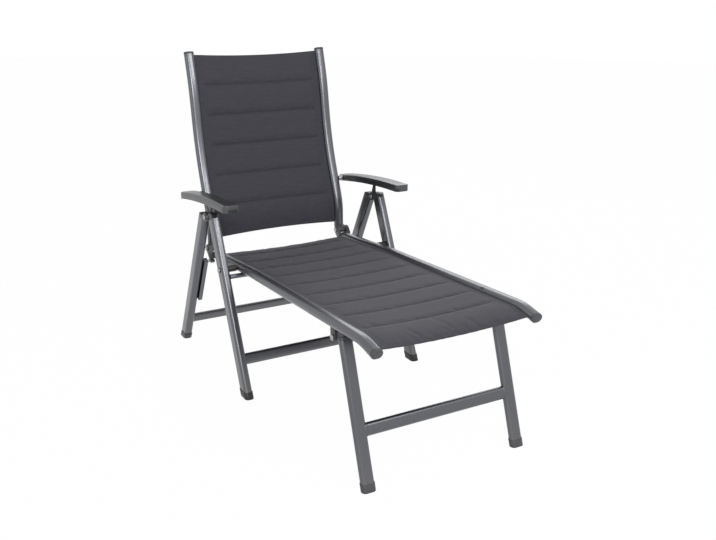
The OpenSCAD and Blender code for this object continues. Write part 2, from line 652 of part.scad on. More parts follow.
module leg_joint_pins() color("dimgray") both_sides() union() {
    side_pin(T, bolt_r, front_half - leg_w / 2 - gap, rear_half + leg_w / 2 + gap);
    side_pin(T, head_r, front_half - leg_w / 2 - gap - head_t, front_half - leg_w / 2 - gap);
    side_pin(T, head_r, rear_half + leg_w / 2 + gap, rear_half + leg_w / 2 + gap + head_t);
}
module front_crossbar() color("silver") crossbar(front_foot, front_h, front_bar_z, front_half - leg_w / 2 - gap);
// Stop tube of the front legs: it meets the rail's underside when the lounger is open and when it is folded
stop_reach = (rail_d / 2 + stop_r + stop_gap) / cos(fold_max / 2);
stop_p = P - stop_reach * (cos(fold_max / 2) * nrm(rail_h) - sin(fold_max / 2) * dir(rail_h));
module front_stop_tube() color("dimgray") difference() {
    side_pin(stop_p, stop_r, -front_half + leg_w / 2 + gap, front_half - leg_w / 2 - gap);
    side_pin(stop_p, stop_r - tube_wall, -front_half, front_half);
}
module rear_leg() leg(rear_foot, rear_h, rear_top, rear_half);
module rear_leg_left() color("silver") on_side(-1) rear_leg();
module rear_leg_right() color("silver") on_side(1) rear_leg();
module rear_boots() color("dimgray") both_sides() boot(rear_foot, rear_h, rear_half);
rear_lap_x = lap_x + strap_t + gap;
module rear_leg_heads() color([0.35, 0.35, 0.37]) both_sides() difference() {
    union() {
        along(rear_foot, rear_h) leg_head(rear_top, rear_half, rear_head_rise);
        slab(rear_lap_x, rear_half + leg_w / 2)
            link(rear_foot + rear_top * dir(rear_h) + rear_head_rise / 2 * dir(rear_h)
                - (leg_d / 2 - lap_r) * nrm(rear_h) + gap * dir(rear_h), rear_head_rise / 2, T, lap_r);
    }
    side_pin(T, bolt_r + run, front_half - leg_w, rear_half + leg_w);
}
module rear_crossbar() color("silver") crossbar(rear_foot, rear_h, rear_bar_z, rear_half - leg_w / 2 - gap);
// Channel on the inner side of a rear leg, in which the guide pin slides
track_top = S_rear[1] + pin_r + gap + track_wall;
track_end = T_rear[1] - slot_far - pin_r - gap - track_wall;
module guide_track() {
    x1 = rear_half - leg_w / 2;
    w = track_slot / 2 + track_wall;
    along(rear_foot, rear_h) translate([x1 - track_h, S_rear[0], 0]) difference() {
        translate([0, -w, track_end]) cube([track_h, 2 * w, track_top - track_end]);
        translate([-over, -track_slot / 2, track_end + track_wall])
            cube([track_h - track_wall + over, track_slot, track_top - track_end - 2 * track_wall]);
    }
}
module guide_track_left() color("dimgray") on_side(-1) guide_track();
module guide_track_right() color("dimgray") on_side(1) guide_track();

// Back frame
module back_hinge_pins() color("dimgray") both_sides() union() {
    side_pin(H, bolt_r, seat_half - rail_w / 2 - lug_w / 2 - gap, seat_half + rail_w / 2 + lug_w + gap);
    side_pin(H, head_r, seat_half - rail_w / 2 - lug_w / 2 - gap - head_t,
        seat_half - rail_w / 2 - lug_w / 2 - gap);
    side_pin(H, head_r, seat_half + rail_w / 2 + lug_w + gap, seat_half + rail_w / 2 + lug_w + gap + head_t);
}
module back_rail() difference() {
    back_sweep() rail_section();
    side_pin(A, pin_r + run, back_half, back_half + rail_w);
}
module back_rail_left() color("silver") on_side(-1) back_rail();
module back_rail_right() color("silver") on_side(1) back_rail();
module back_top_caps() color("dimgray") both_sides() rail_cap(back_steps, back_start_p, back_lean, back_half);
module back_hinge_lugs() color("gray") both_sides() difference() {
    union() {
        slab(seat_half - rail_w / 2 + lug_w / 2 + gap, seat_half + rail_w / 2 - lug_w / 2 - gap) union() {
            circle_at(H, lug_r - over);
            difference() {
                link(H, lug_r - over, back_start_p - cap_t / 2 * dir(back_lean), lug_r - over);
                translate(back_start_p) rotate(-back_lean) translate([-lug_r, 0]) square(2 * lug_r);
            }
        }
        translate([back_half, 0, 0]) along(back_start_p, back_lean) union() {
            translate([0, 0, -cap_t]) linear_extrude(cap_t) stadium(rail_w, rail_d);
            translate([channel_bore / 2 + rail_wall, 0, 0]) linear_extrude(plug)
                stadium(rail_w - channel_bore - 5 * rail_wall - gap,
                    rail_d - 2 * rail_wall - gap - channel_bore);
        }
    }
    side_pin(H, bolt_r + run, seat_half - rail_w, seat_half + rail_w);
    side_pin(H, lug_r + gap, seat_half - rail_w, seat_half - rail_w / 2 + lug_w / 2 + gap);
    side_pin(H, lug_r + gap, seat_half + rail_w / 2 - lug_w / 2 - gap, seat_half + rail_w);
}
module circle_at(p, r) translate(p) circle(r = r);
module back_spreader(s, bow, drop) {
    at = run_at(s, back_steps, back_start_p, back_lean);
    difference() {
        along(at[0] + drop * nrm(at[1]), at[1] - 90) bowed_tube(back_half - rail_w / 4, bow, spreader_r);
        both_sides() back_sweep() stadium(rail_w + 2 * gap + 2 * $grow, rail_d + 2 * gap + 2 * $grow);
    }
}
back_bow = 30;
upper_spreader_s = 70;
lower_spreader_s = 95;
module back_upper_spreader() color("silver")
    back_spreader(back_length - upper_spreader_s, back_bow, spreader_drop);
module back_lower_spreader() color("silver") back_spreader(lower_spreader_s, back_bow, spreader_drop);

// Armrests
module armrest_bolt() union() {
    side_pin(A, pin_r, back_half + rail_wall, arm_half + arm_w / 2 - 3 * arm_wall - gap);
    side_pin(A, head_r, back_half + rail_w / 2 + gap, arm_half - arm_w / 2 - gap);
}
module armrest_bolt_left() color("black") on_side(-1) armrest_bolt();
module armrest_bolt_right() color("black") on_side(1) armrest_bolt();
apex_back = 430;     // place of the arch's highest point in front of the armrest pivot
arch_c = A + [-apex_back, arm_top - sqrt(arm_r * arm_r - apex_back * apex_back)];
function arch_angle(y) = asin((y - arch_c[0]) / arm_r);
// A band of the arch, lo to hi below the top, w wide
module arch_band(w, lo, hi, r) {
    a0 = arch_angle(A[0] - arm_front - arm_corner);
    a1 = arch_angle(A[0] + arm_rear + arm_corner);
    translate([arm_half, arch_c[0], arch_c[1]]) rotate([90, 0, -90]) rotate([0, 0, 90 + a0])
        rotate_extrude(angle = a1 - a0, $fn = 4 * arc_fn) union() {
            translate([arm_r - hi, -w / 2]) square([hi - lo - r, w]);
            translate([arm_r - (lo + hi) / 2, 0]) round_box(hi - lo, w, r);
        }
}
module arm_plan(inset) {
    l = arm_front + arm_rear - 2 * inset;
    translate([arm_half, A[0] + (arm_rear - arm_front) / 2, 0]) linear_extrude(2 * pivot_height)
        round_box(arm_w + 2 * over - 2 * inset, l, arm_corner - inset);
}
// Rack under the top wall: teeth that the latch pin passes just below while the back moves
rack_dir = (latch - A) / norm(latch - A);
rack_up = [rack_dir[1], -rack_dir[0]];
module rack_outline() {
    r0 = pin_reach(0) - pin_r - tooth_w;
    r1 = pin_reach(recline_max) + pin_r + arm_wall;
    root = pin_r + gap;
    step = recline_max / (notch_count - 1);
    polygon([A + r0 * rack_dir + root * rack_up, A + r1 * rack_dir + root * rack_up,
        A + r1 * rack_dir + arm_t * rack_up, A + r0 * rack_dir + arm_t * rack_up]);
    for (i = [0 : notch_count - 2]) {
        a = (i + 0.5) * step;
        r = pin_reach(a);
        t = min(tooth_h, pin_drop(a) - gap / 2);
        polygon([A + (r - tooth_w / 2) * rack_dir + (root + over) * rack_up,
            A + (r + tooth_w / 2) * rack_dir + (root + over) * rack_up,
            A + (r + tooth_tip / 2) * rack_dir + (root - t) * rack_up,
            A + (r - tooth_tip / 2) * rack_dir + (root - t) * rack_up]);
    }
}
module armrest() difference() {
    union() {
        difference() {
            intersection() {
                arch_band(arm_w, 0, arm_t, arm_round);
                arm_plan(0);
            }
            intersection() {
                arch_band(arm_w - 2 * arm_wall, arm_ceiling, arm_t + arm_wall, arm_wall);
                arm_plan(arm_wall);
            }
        }
        slab(arm_half - arm_w / 2 + arm_wall / 2, arm_half + arm_w / 2 - arm_wall / 2) translate(A) union() {
            circle(r = boss_r);
            translate([-boss_r, 0]) square([2 * boss_r, arm_top - arm_ceiling / 2]);
        }
        intersection() {
            union() for (k = [-1, 1]) slab(arm_half + k * rack_x - rack_w / 2, arm_half + k * rack_x + rack_w / 2)
                rack_outline();
            arch_band(arm_w - arm_wall, arm_ceiling / 2, arm_t, arm_wall);
        }
    }
    side_pin(A, pin_r + run, arm_half - arm_w, arm_half + arm_w / 2 - 3 * arm_wall);
}
module armrest_left() color("darkgray") on_side(-1) armrest();
module armrest_right() color("darkgray") on_side(1) armrest();

seat_rail_left();
seat_rail_right();
seat_nose_caps();
seat_hinge_bracket_left();
seat_hinge_bracket_right();
guide_pins();
seat_front_spreader();
seat_rear_spreader();
seat_sling();
seat_edge_rods();
leg_pivot_bolts();
leg_pivot_bushes();
foot_leg_brackets();
foot_leg_left();
foot_leg_right();
foot_leg_plates();
foot_leg_pivots();
foot_crossbar();
foot_leg_boots();
front_leg_left();
front_leg_right();
front_leg_heads();
front_crossbar();
front_stop_tube();
front_boots();
latch_straps();
latch_pins();
leg_joint_pins();
rear_leg_left();
rear_leg_right();
rear_leg_heads();
rear_crossbar();
rear_boots();
guide_track_left();
guide_track_right();
back_hinge_pins();
back_rail_left();
back_rail_right();
back_top_caps();
back_hinge_lugs();
back_upper_spreader();
back_lower_spreader();
back_sling();
back_edge_rods();
armrest_bolt_left();
armrest_bolt_right();
armrest_left();
armrest_right();
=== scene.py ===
import json
import math

import bpy
import numpy as np
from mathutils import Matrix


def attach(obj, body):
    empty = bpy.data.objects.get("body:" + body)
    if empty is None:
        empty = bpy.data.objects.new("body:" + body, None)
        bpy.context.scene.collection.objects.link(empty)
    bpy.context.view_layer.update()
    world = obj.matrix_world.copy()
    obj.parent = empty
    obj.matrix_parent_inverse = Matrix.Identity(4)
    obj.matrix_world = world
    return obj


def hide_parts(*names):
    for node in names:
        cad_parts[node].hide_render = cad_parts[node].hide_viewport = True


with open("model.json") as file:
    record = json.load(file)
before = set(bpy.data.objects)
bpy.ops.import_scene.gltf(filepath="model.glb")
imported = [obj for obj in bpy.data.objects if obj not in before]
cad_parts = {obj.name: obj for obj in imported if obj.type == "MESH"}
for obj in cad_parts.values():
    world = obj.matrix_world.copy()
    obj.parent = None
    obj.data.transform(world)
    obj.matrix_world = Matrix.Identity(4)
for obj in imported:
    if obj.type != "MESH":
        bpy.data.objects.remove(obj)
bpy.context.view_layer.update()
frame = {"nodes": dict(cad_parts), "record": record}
cad = frame["nodes"]

# Camera: the photograph was taken from the front left, from a little above the back's top, with a
# lens of middle length. Place, angles and lens were worked out from the frame's straight lines.
PHOTO_WIDTH = 716
camera_place = (-1.324275, -2.433934, 1.328412)
camera_turn = (72.775, -0.4155, -29.390)
focal_px = 880
shift_px = (2.8, -17.4)
SENSOR = 36
bpy.ops.object.camera_add(location=camera_place, rotation=[math.radians(a) for a in camera_turn])
camera = bpy.context.object
camera.name = "photo_camera"
camera.data.sensor_width = SENSOR
camera.data.lens = focal_px / PHOTO_WIDTH * SENSOR
camera.data.shift_x = shift_px[0] / PHOTO_WIDTH
camera.data.shift_y = shift_px[1] / PHOTO_WIDTH
camera.data.clip_end = 60
bpy.context.scene.camera = camera


# Studio: a wide pale floor that runs out to a white backdrop, two soft lamps over the foot end, a
# weak one from the left and a broad one behind the back. They light at a plain level.
class Value:
    """A socket of a node tree. Python's operators on it add Math nodes."""

    def __init__(self, tree, socket):
        self.tree = tree
        self.socket = socket

    def math(self, operation, *others):
        return add_node(self.tree, "Math", dict(enumerate((self, *others))), operation=operation)

    def __add__(self, other):
        return self.math("ADD", other)

    def __sub__(self, other):
        return self.math("SUBTRACT", other)

    def __rsub__(self, other):
        return (self * -1).math("ADD", other)

    def __mul__(self, other):
        return self.math("MULTIPLY", other)

    __radd__ = __add__
    __rmul__ = __mul__


def add_node(tree, kind, inputs=None, output=0, **settings):
    """Adds a node: its settings, then numbers or Values into its sockets. Gives one output."""
    node = tree.nodes.new("ShaderNode" + kind)
    for name, setting in settings.items():
        setattr(node, name, setting)
    for key, value in (inputs or {}).items():
        if isinstance(value, Value):
            tree.links.new(value.socket, node.inputs[key])
        else:
            node.inputs[key].default_value = value
    return Value(tree, node.outputs[output])


def new_finish(name):
    """A new material without nodes, and its tree."""
    material = bpy.data.materials.new(name)
    material.use_nodes = True
    material.node_tree.nodes.clear()
    return material, material.node_tree


def finish_with(tree, shader):
    """Sends a shader to the material's output."""
    end = tree.nodes.new("ShaderNodeOutputMaterial")
    tree.links.new(shader.socket, end.inputs["Surface"])


def mixed(tree, share, first, second):
    """A colour between two, each of them a Value or its red, green and blue."""
    first, second = (c if isinstance(c, Value) else (*c, 1) for c in (first, second))
    return add_node(tree, "MixRGB", {"Fac": share, "Color1": first, "Color2": second})


def noise(tree, place, scale, detail=2.0, rough=0.5):
    """A cloudy pattern from 0 to 1."""
    return add_node(tree, "TexNoise", {"Vector": place, "Scale": scale, "Detail": detail,
                                       "Roughness": rough})


def shown_share(tree):
    """1 where the camera sees a place, also in a mirror or through glass, and 0 for other light."""
    seen = add_node(tree, "LightPath", output="Is Camera Ray")
    mirrored = add_node(tree, "LightPath", output="Is Glossy Ray")
    through = add_node(tree, "LightPath", output="Is Transmission Ray")
    return (seen + mirrored + through).math("MINIMUM", 1.0)


FLOOR_R, FLOOR_DROP, FLOOR_WHITE = 14, 0.0005, 0.985
bpy.ops.mesh.primitive_circle_add(vertices=96, radius=FLOOR_R, fill_type="NGON",
                                  location=(0, 0, -FLOOR_DROP))
floor = bpy.context.object
floor.name = "studio_floor"
floor_paint, tree = new_finish("pale_studio_floor")
lit = add_node(tree, "BsdfDiffuse", {"Color": (0.86, 0.86, 0.86, 1)})
white = add_node(tree, "Emission", {"Color": (1, 1, 1, 1), "Strength": 1.0})
share = shown_share(tree) * FLOOR_WHITE
finish_with(tree, add_node(tree, "MixShader", {0: share, 1: lit, 2: white}))
floor.data.materials.append(floor_paint)

world = bpy.data.worlds.new("studio_world")
world.use_nodes = True
bpy.context.scene.world = world
tree = world.node_tree
tree.nodes.clear()
WORLD_LIGHT = 0.44
strength = WORLD_LIGHT + shown_share(tree) * (1 - WORLD_LIGHT)
world_light = add_node(tree, "Background", {"Color": (1, 1, 1, 1), "Strength": strength})
world_out = tree.nodes.new("ShaderNodeOutputWorld")
tree.links.new(world_light.socket, world_out.inputs["Surface"])

# Place, size, power in watts and target of each lamp.
lamps = {
    "key_lamp": ((-1.5, -3.7, 2.6), (1.2, 1.0), 86, (0.0, 0.1, 0.6)),
    "front_lamp": ((1.15, -3.2, 3.0), (0.8, 0.7), 36, (-0.2, 0.2, 0.4)),
    "left_lamp": ((-3.3, 0.4, 1.6), (1.6, 1.6), 7, (0.0, 0.1, 0.5)),
    "rear_lamp": ((2.2, 2.8, 2.3), (2.6, 1.4), 22, (0.2, -0.4, 0.4)),
}
for name, (place, size, power, target) in lamps.items():
    bpy.ops.object.light_add(type="AREA", location=place)
    lamp = bpy.context.object
    lamp.name = name
    lamp.data.shape = "RECTANGLE"
    lamp.data.size, lamp.data.size_y = size
    lamp.data.energy = power
    lamp.data.color = (0.965, 0.975, 1.0)
    aim = np.array(target) - np.array(place)
    tilt = math.atan2(math.hypot(aim[0], aim[1]), -aim[2])
    lamp.rotation_euler = (tilt, 0, math.atan2(-aim[0], aim[1]))


# Silver frame: all tubes are aluminium under a dark satin silver coat with a fine flake, a faint
# orange peel and dust near the floor. Each shown tube is the CAD tube with smooth faces.
def hold(piece):
    """Selects one piece and nothing else."""
    bpy.ops.object.select_all(action="DESELECT")
    piece.select_set(True)
    bpy.context.view_layer.objects.active = piece


def copy_node(name):
    """A copy of a CAD node's mesh with its points merged."""
    piece = bpy.data.objects.new("soft_" + name, cad[name].data.copy())
    bpy.context.scene.collection.objects.link(piece)
    piece.data.materials.clear()
    hold(piece)
    bpy.ops.object.mode_set(mode="EDIT")
    bpy.ops.mesh.select_all(action="SELECT")
    bpy.ops.mesh.remove_doubles(threshold=0.000002)
    bpy.ops.object.mode_set(mode="OBJECT")
    return piece


def make_piece(name, points, faces, finish=None):
    """A new object from points and faces, all turned outward. A sling gets its finish later."""
    mesh = bpy.data.meshes.new(name)
    mesh.from_pydata(points, [], faces)
    if finish:
        mesh.materials.append(finish)
    piece = bpy.data.objects.new(name, mesh)
    bpy.context.scene.collection.objects.link(piece)
    hold(piece)
    bpy.ops.object.mode_set(mode="EDIT")
    bpy.ops.mesh.select_all(action="SELECT")
    bpy.ops.mesh.normals_make_consistent(inside=False)
    bpy.ops.object.mode_set(mode="OBJECT")
    return piece


bodies = frame["record"]["behaviour"]["bodies"]
body_of = {node: body for body, nodes in bodies.items() for node in nodes}


def soften(name, finish, width=0.0):
    """Stands for a CAD node: the same solid with smooth faces and a finish. With a width, its
    edges are rounded too."""
    piece = copy_node(name)
    if width:
        bpy.ops.object.mode_set(mode="EDIT")
        bpy.ops.mesh.dissolve_limited(angle_limit=math.radians(0.4))
        bpy.ops.object.mode_set(mode="OBJECT")
        edges = piece.modifiers.new("edges", "BEVEL")
        edges.limit_method = "ANGLE"
        edges.angle_limit = math.radians(32)
        edges.width = width
        edges.segments = 2
        bpy.ops.object.modifier_apply(modifier="edges")
    bpy.ops.object.shade_smooth_by_angle(angle=math.radians(38))
    piece.data.materials.append(finish)
    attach(piece, body_of[name])
    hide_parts(name)


silver_paint, tree = new_finish("silver_frame_paint")
place = add_node(tree, "TexCoord", output="Object")
flake = noise(tree, place, 1500)
cloud = noise(tree, place, 6, 4, 0.6)
peel = noise(tree, place, 320)
height = add_node(tree, "SeparateXYZ", {0: place}, output="Z")
low = add_node(tree, "MapRange", {"Value": height, "From Min": 0.14, "From Max": 0.0})
dust = low * (cloud + 0.2)
tone = mixed(tree, 0.3 + 0.5 * flake, (0.080, 0.081, 0.089), (0.130, 0.132, 0.147))
tone = mixed(tree, dust * 0.4, tone, (0.15, 0.145, 0.135))
bump = add_node(tree, "Bump", {"Strength": 0.06, "Distance": 0.0005, "Height": peel + 0.5 * flake})
paint = add_node(tree, "BsdfPrincipled", {
    "Base Color": tone,
    "Metallic": 0.9,
    "Roughness": 0.27 + 0.1 * cloud + 0.06 * flake + 0.2 * dust,
    "Normal": bump,
    "Coat Weight": 0.5,
    "Coat Roughness": 0.2,
})
finish_with(tree, paint)
for name in ["foot_leg_left", "foot_leg_right", "front_leg_left", "front_leg_right",
             "rear_leg_left", "rear_leg_right", "foot_crossbar", "front_crossbar",
             "rear_crossbar", "front_stop_tube", "guide_track_left", "guide_track_right",
             "seat_front_spreader", "seat_rear_spreader", "back_upper_spreader",
             "back_lower_spreader"]:
    soften(name, silver_paint)


# Welds: a rippled bead runs round both ends of each cross bar, where it meets the legs. The foot
# legs are round towards their bar, so its beads widen into a saddle that closes the wedge there.
BAR_R, BAR_FLAT = 0.010, 0.018          # a bar's rounding, and the flat between its roundings
BEAD_R, BEAD_SUNK = 0.0015, 0.4         # a bead's radius, and the share of it under the surface
BEAD_RIPPLE, BEAD_RIPPLES = 0.1, 40
FOOT_LEG_ROUND = 0.0105


def squared(share):
    """A sine or cosine made fuller, so that a section is a rounded square instead of a circle."""
    return math.copysign(abs(share) ** 0.6, share)


def weld_bar(name, foot, heading, height, half, body, leg_round=0.0):
    """The two beads of a cross bar, at a height on legs whose centre line starts at foot with a
    heading. Half is half the bar's length."""
    turn = math.radians(heading)
    way = math.sin(turn), math.cos(turn)
    out = math.cos(turn), -math.sin(turn)
    middle = foot + height * math.tan(turn), height
    rings, sides = 160, 12
    points, faces = [], []
    for end in (-half, half):
        base = len(points)
        for i in range(rings):
            a = math.tau * i / rings
            lift = math.copysign(BAR_FLAT / 2, math.sin(a))
            radius = BEAD_R * (1 + BEAD_RIPPLE * math.sin(a * BEAD_RIPPLES))
            wedge = leg_round - math.sqrt(max(0.0, leg_round ** 2 - (BAR_R * math.cos(a)) ** 2))
            length = math.copysign(radius + wedge / 2, end)
            for k in range(sides):
                b = math.tau * k / sides
                reach = BAR_R + radius * (squared(math.cos(b)) - BEAD_SUNK)
                x = end + math.copysign(wedge / 2, end) + length * squared(math.sin(b))
                u, v = reach * math.cos(a), reach * math.sin(a) + lift
                points.append((x, middle[0] + out[0] * u + way[0] * v,
                               middle[1] + out[1] * u + way[1] * v))
        for i in range(rings):
            for k in range(sides):
                q, r = base + i * sides, base + (i + 1) % rings * sides
                faces.append((q + k, q + (k + 1) % sides, r + (k + 1) % sides, r + k))
    beads = make_piece(name, points, faces, silver_paint)
    bpy.ops.object.shade_smooth()
    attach(beads, body)


weld_bar("foot_bar_welds", -0.630, 18.70, 0.156, 0.2350, "foot_legs", FOOT_LEG_ROUND)
weld_bar("front_bar_welds", 0.052, 24.486, 0.113, 0.3106, "front_legs")
weld_bar("rear_bar_welds", 0.653, -26.52, 0.088, 0.3156, "rear_legs")


# Sling rails: flat-sided aluminium extrusions, bent along the seat and the back. A round channel
# with a slit runs down the inner side of each and holds the edge rod of a sling.
def bend_end(place, heading, turn, radius):
    """Where a bend ends that starts at a side place with a heading, in degrees from +Z to +Y."""
    a, b = math.radians(heading), math.radians(heading + turn)
    way = math.copysign(radius, turn)
    return (place[0] + way * (math.cos(a) - math.cos(b)),
            place[1] + way * (math.sin(b) - math.sin(a)))


def run_at(distance, steps, place, heading):
    """Side place and heading at a distance along a run of (straight, turn, radius) steps."""
    for straight, turn, radius in steps:
        a = math.radians(heading)
        if distance <= straight or not turn:
            return place[0] + distance * math.sin(a), place[1] + distance * math.cos(a), heading
        corner = (place[0] + straight * math.sin(a), place[1] + straight * math.cos(a))
        arc = radius * abs(math.radians(turn))
        if distance <= straight + arc:
            part = math.copysign(math.degrees((distance - straight) / radius), turn)
            return (*bend_end(corner, heading, part, radius), heading + part)
        distance -= straight + arc
        place, heading = bend_end(corner, heading, turn, radius), heading + turn


def run_length(steps):
    """Length of a run."""
    return sum(straight + radius * abs(math.radians(turn)) for straight, turn, radius in steps)


RAIL_W, RAIL_D = 0.036, 0.028
CHANNEL_R, CHANNEL_AT, SLIT = 0.0032, -0.014, 0.0015
BEND_STEP = 0.006


def rail_outline():
    """Outline of the extrusion, from the slit round the outside and back through the channel."""
    end = RAIL_D / 2
    lip = math.asin(SLIT / end)
    quarter, flat = math.pi / 2, RAIL_W / 2 - end
    outline = []
    for low, high, centre in ((math.pi - lip, quarter, -flat), (quarter, -quarter, flat),
                              (-quarter, lip - math.pi, -flat)):
        turns = np.linspace(low, high, 25)
        outline += [(centre + end * math.cos(t), end * math.sin(t)) for t in turns]
    mouth = math.pi - math.asin(SLIT / CHANNEL_R)
    for t in np.linspace(-mouth, mouth, 19):
        outline.append((CHANNEL_AT + CHANNEL_R * math.cos(t), CHANNEL_R * math.sin(t)))
    return outline


def sweep_rail(name, steps, start, heading, middle):
    """Stands for a CAD rail: its outline swept along a run of steps, its middle at a given x."""
    spots, done = [0.0], 0.0
    for straight, turn, radius in steps:
        arc = radius * abs(math.radians(turn))
        spots += list(np.linspace(done, done + straight, 5)[1:])
        done += straight
        if turn:
            spots += list(np.linspace(done, done + arc, max(6, int(arc / BEND_STEP)))[1:])
        done += arc
    outline = rail_outline()
    count, side = len(outline), math.copysign(1, middle)
    points, faces = [], []
    for spot in spots:
        y, z, turn = run_at(spot, steps, start, heading)
        out = math.cos(math.radians(turn)), -math.sin(math.radians(turn))
        points += [(middle + side * u, y + out[0] * v, z + out[1] * v) for u, v in outline]
    for i in range(len(spots) - 1):
        for k in range(count):
            a, b = i * count + k, i * count + (k + 1) % count
            faces.append((a, b, b + count, a + count))
    faces += [tuple(range(count)), tuple(len(points) - 1 - k for k in range(count))]
    rail = make_piece("swept_" + name, points, faces, silver_paint)
    bpy.ops.object.shade_smooth_by_angle(angle=math.radians(35))
    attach(rail, body_of[name])
    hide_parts(name)


# The rails' runs, each from the hinge outward: (straight, turn in degrees, radius) steps.
seat_steps = [(0.334, -1.9, 0.9), (0.667, -15.0, 0.23), (0.034, 0.0, 1.0)]
seat_start, seat_heading = (0.454278, 0.375035), 4.6 - 90
back_steps = [(0.048, 21.0, 0.196), (0.085, -12.5, 1.123), (0.060, 7.0, 0.9), (0.060, 0.0, 1.0)]
back_start, back_heading = (0.499278, 0.413035), 1.0
for name, middle in (("seat_rail_left", -0.262), ("seat_rail_right", 0.262)):
    sweep_rail(name, seat_steps, seat_start, seat_heading, middle)
for name, middle in (("back_rail_left", -0.261), ("back_rail_right", 0.261)):
    sweep_rail(name, back_steps, back_start, back_heading, middle)


# Moulded fittings: end caps, leg heads, brackets, lugs and boots. A cap in a rail is dark
# grey, the leg heads are grey like the frame, and the front feet are nearly black.
def plastic(name, dark, pale, rough, metal=0.0):
    """A moulded plastic with a spark grain, faint flow clouds and paler rubbed patches."""
    material, tree = new_finish(name)
    place = add_node(tree, "TexCoord", output="Object")
    grain = noise(tree, place, 1100, 3)
    cloud = noise(tree, place, 24, 4, 0.62)
    rub = add_node(tree, "MapRange", {"Value": cloud, "From Min": 0.56, "From Max": 0.72})
    tone = mixed(tree, 0.3 * grain + 0.45 * cloud, dark, pale)
    bump = add_node(tree, "Bump", {"Strength": 0.2, "Distance": 0.0004, "Height": grain})
    body = add_node(tree, "BsdfPrincipled", {
        "Base Color": tone,
        "Metallic": metal,
        "Roughness": rough + 0.1 * cloud + 0.06 * grain - 0.05 * rub,
        "Normal": bump,
        "Specular IOR Level": 0.42,
    })
    finish_with(tree, body)
    return material


cap_plastic = plastic("dark_cap_plastic", (0.045, 0.045, 0.048), (0.085, 0.085, 0.09), 0.38)
head_plastic = plastic("grey_head_plastic", (0.09, 0.09, 0.095), (0.14, 0.14, 0.147), 0.3, 0.7)
black_plastic = plastic("black_foot_plastic", (0.012, 0.012, 0.013), (0.03, 0.03, 0.032), 0.36)
for name in ["seat_nose_caps", "back_top_caps", "foot_leg_boots", "foot_leg_plates",
             "foot_leg_brackets", "rear_boots"]:
    soften(name, cap_plastic, 0.0011)
for name in ["front_leg_heads", "rear_leg_heads", "seat_hinge_bracket_left",
             "seat_hinge_bracket_right", "back_hinge_lugs"]:
    soften(name, head_plastic, 0.0009)
for name in ["front_boots", "leg_pivot_bushes", "seat_edge_rods", "back_edge_rods"]:
    soften(name, black_plastic, 0.0007)

# Bolts, pins and straps: zinc-plated steel pins with softened heads and turning marks round them,
# and flat steel straps with a black coat.
zinc, tree = new_finish("zinc_plated_steel")
place = add_node(tree, "TexCoord", output="Object")
stretched = add_node(tree, "Mapping", {"Vector": place, "Scale": (1500.0, 60.0, 60.0)})
turned = noise(tree, stretched, 1)
stain = noise(tree, place, 90, 4)
tone = mixed(tree, 0.7 * stain, (0.42, 0.42, 0.43), (0.24, 0.235, 0.23))
bump = add_node(tree, "Bump", {"Strength": 0.15, "Distance": 0.0003, "Height": turned})
metal = add_node(tree, "BsdfPrincipled", {
    "Base Color": tone, "Metallic": 1.0, "Roughness": 0.28 + 0.2 * stain, "Normal": bump})
finish_with(tree, metal)
for name in ["guide_pins", "leg_pivot_bolts", "foot_leg_pivots", "leg_joint_pins",
             "back_hinge_pins", "latch_pins", "armrest_bolt_left", "armrest_bolt_right"]:
    soften(name, zinc, 0.0012)
soften("latch_straps", black_plastic, 0.0006)

# Armrests: arched hollow mouldings with a satin anthracite metal coat, well rounded top edges and
# a worn, smoother patch on top where a hand rests.
armrest_plastic, tree = new_finish("armrest_satin_coat")
place = add_node(tree, "TexCoord", output="Object")
grain = noise(tree, place, 900, 3)
cloud = noise(tree, place, 18, 4, 0.6)
facing = add_node(tree, "NewGeometry", output="Normal")
up = add_node(tree, "SeparateXYZ", {0: facing}, output="Z").math("MAXIMUM", 0.0)
along = add_node(tree, "SeparateXYZ", {0: place}, output="Y")
hand = add_node(tree, "MapRange", {"Value": along, "From Min": 0.42, "From Max": 0.2}) * up
tone = mixed(tree, 0.3 * grain + 0.5 * cloud, (0.078, 0.079, 0.083), (0.118, 0.119, 0.125))
bump = add_node(tree, "Bump", {"Strength": 0.14, "Distance": 0.0004, "Height": grain})
body = add_node(tree, "BsdfPrincipled", {
    "Base Color": tone,
    "Metallic": 0.75,
    "Roughness": 0.29 + 0.1 * cloud - 0.07 * hand,
    "Normal": bump,
    "Specular IOR Level": 0.5,
})
finish_with(tree, body)
for name in ["armrest_left", "armrest_right"]:
    soften(name, armrest_plastic, 0.0006)


# Seat sling: two layers of charcoal mesh cloth with thin foam between them, sewn across into
# panels. It is held at its sides by the rods in the rails' channels and hangs a little between.
SEAM_BORDER = 0.032                       # from a seam's end to the rod beside it
CLOTH_HALF, PANEL_RISE = 0.0011, 0.0034   # half the thickness, and what the foam adds
HEM, HEM_RISE = 0.015, 0.0006
FLAT_EDGE, HELD_EDGE = 0.018, 0.021       # beside a rod, without foam and held in the simulation
SIDE_RAMP, SEAM_RAMP = 0.05, 0.018        # widths over which a panel swells
PUCKER, PUCKER_REACH = 0.0002, 0.012
EDGE_ROW, ROW_STEP = 0.003, 0.0085        # rows of points beside a seam and inside a panel
UNDER_SHARE = 0.75                        # the under side's swelling as a share of the top's
THREAD = 0.0016                           # from one thread of the weave to the next


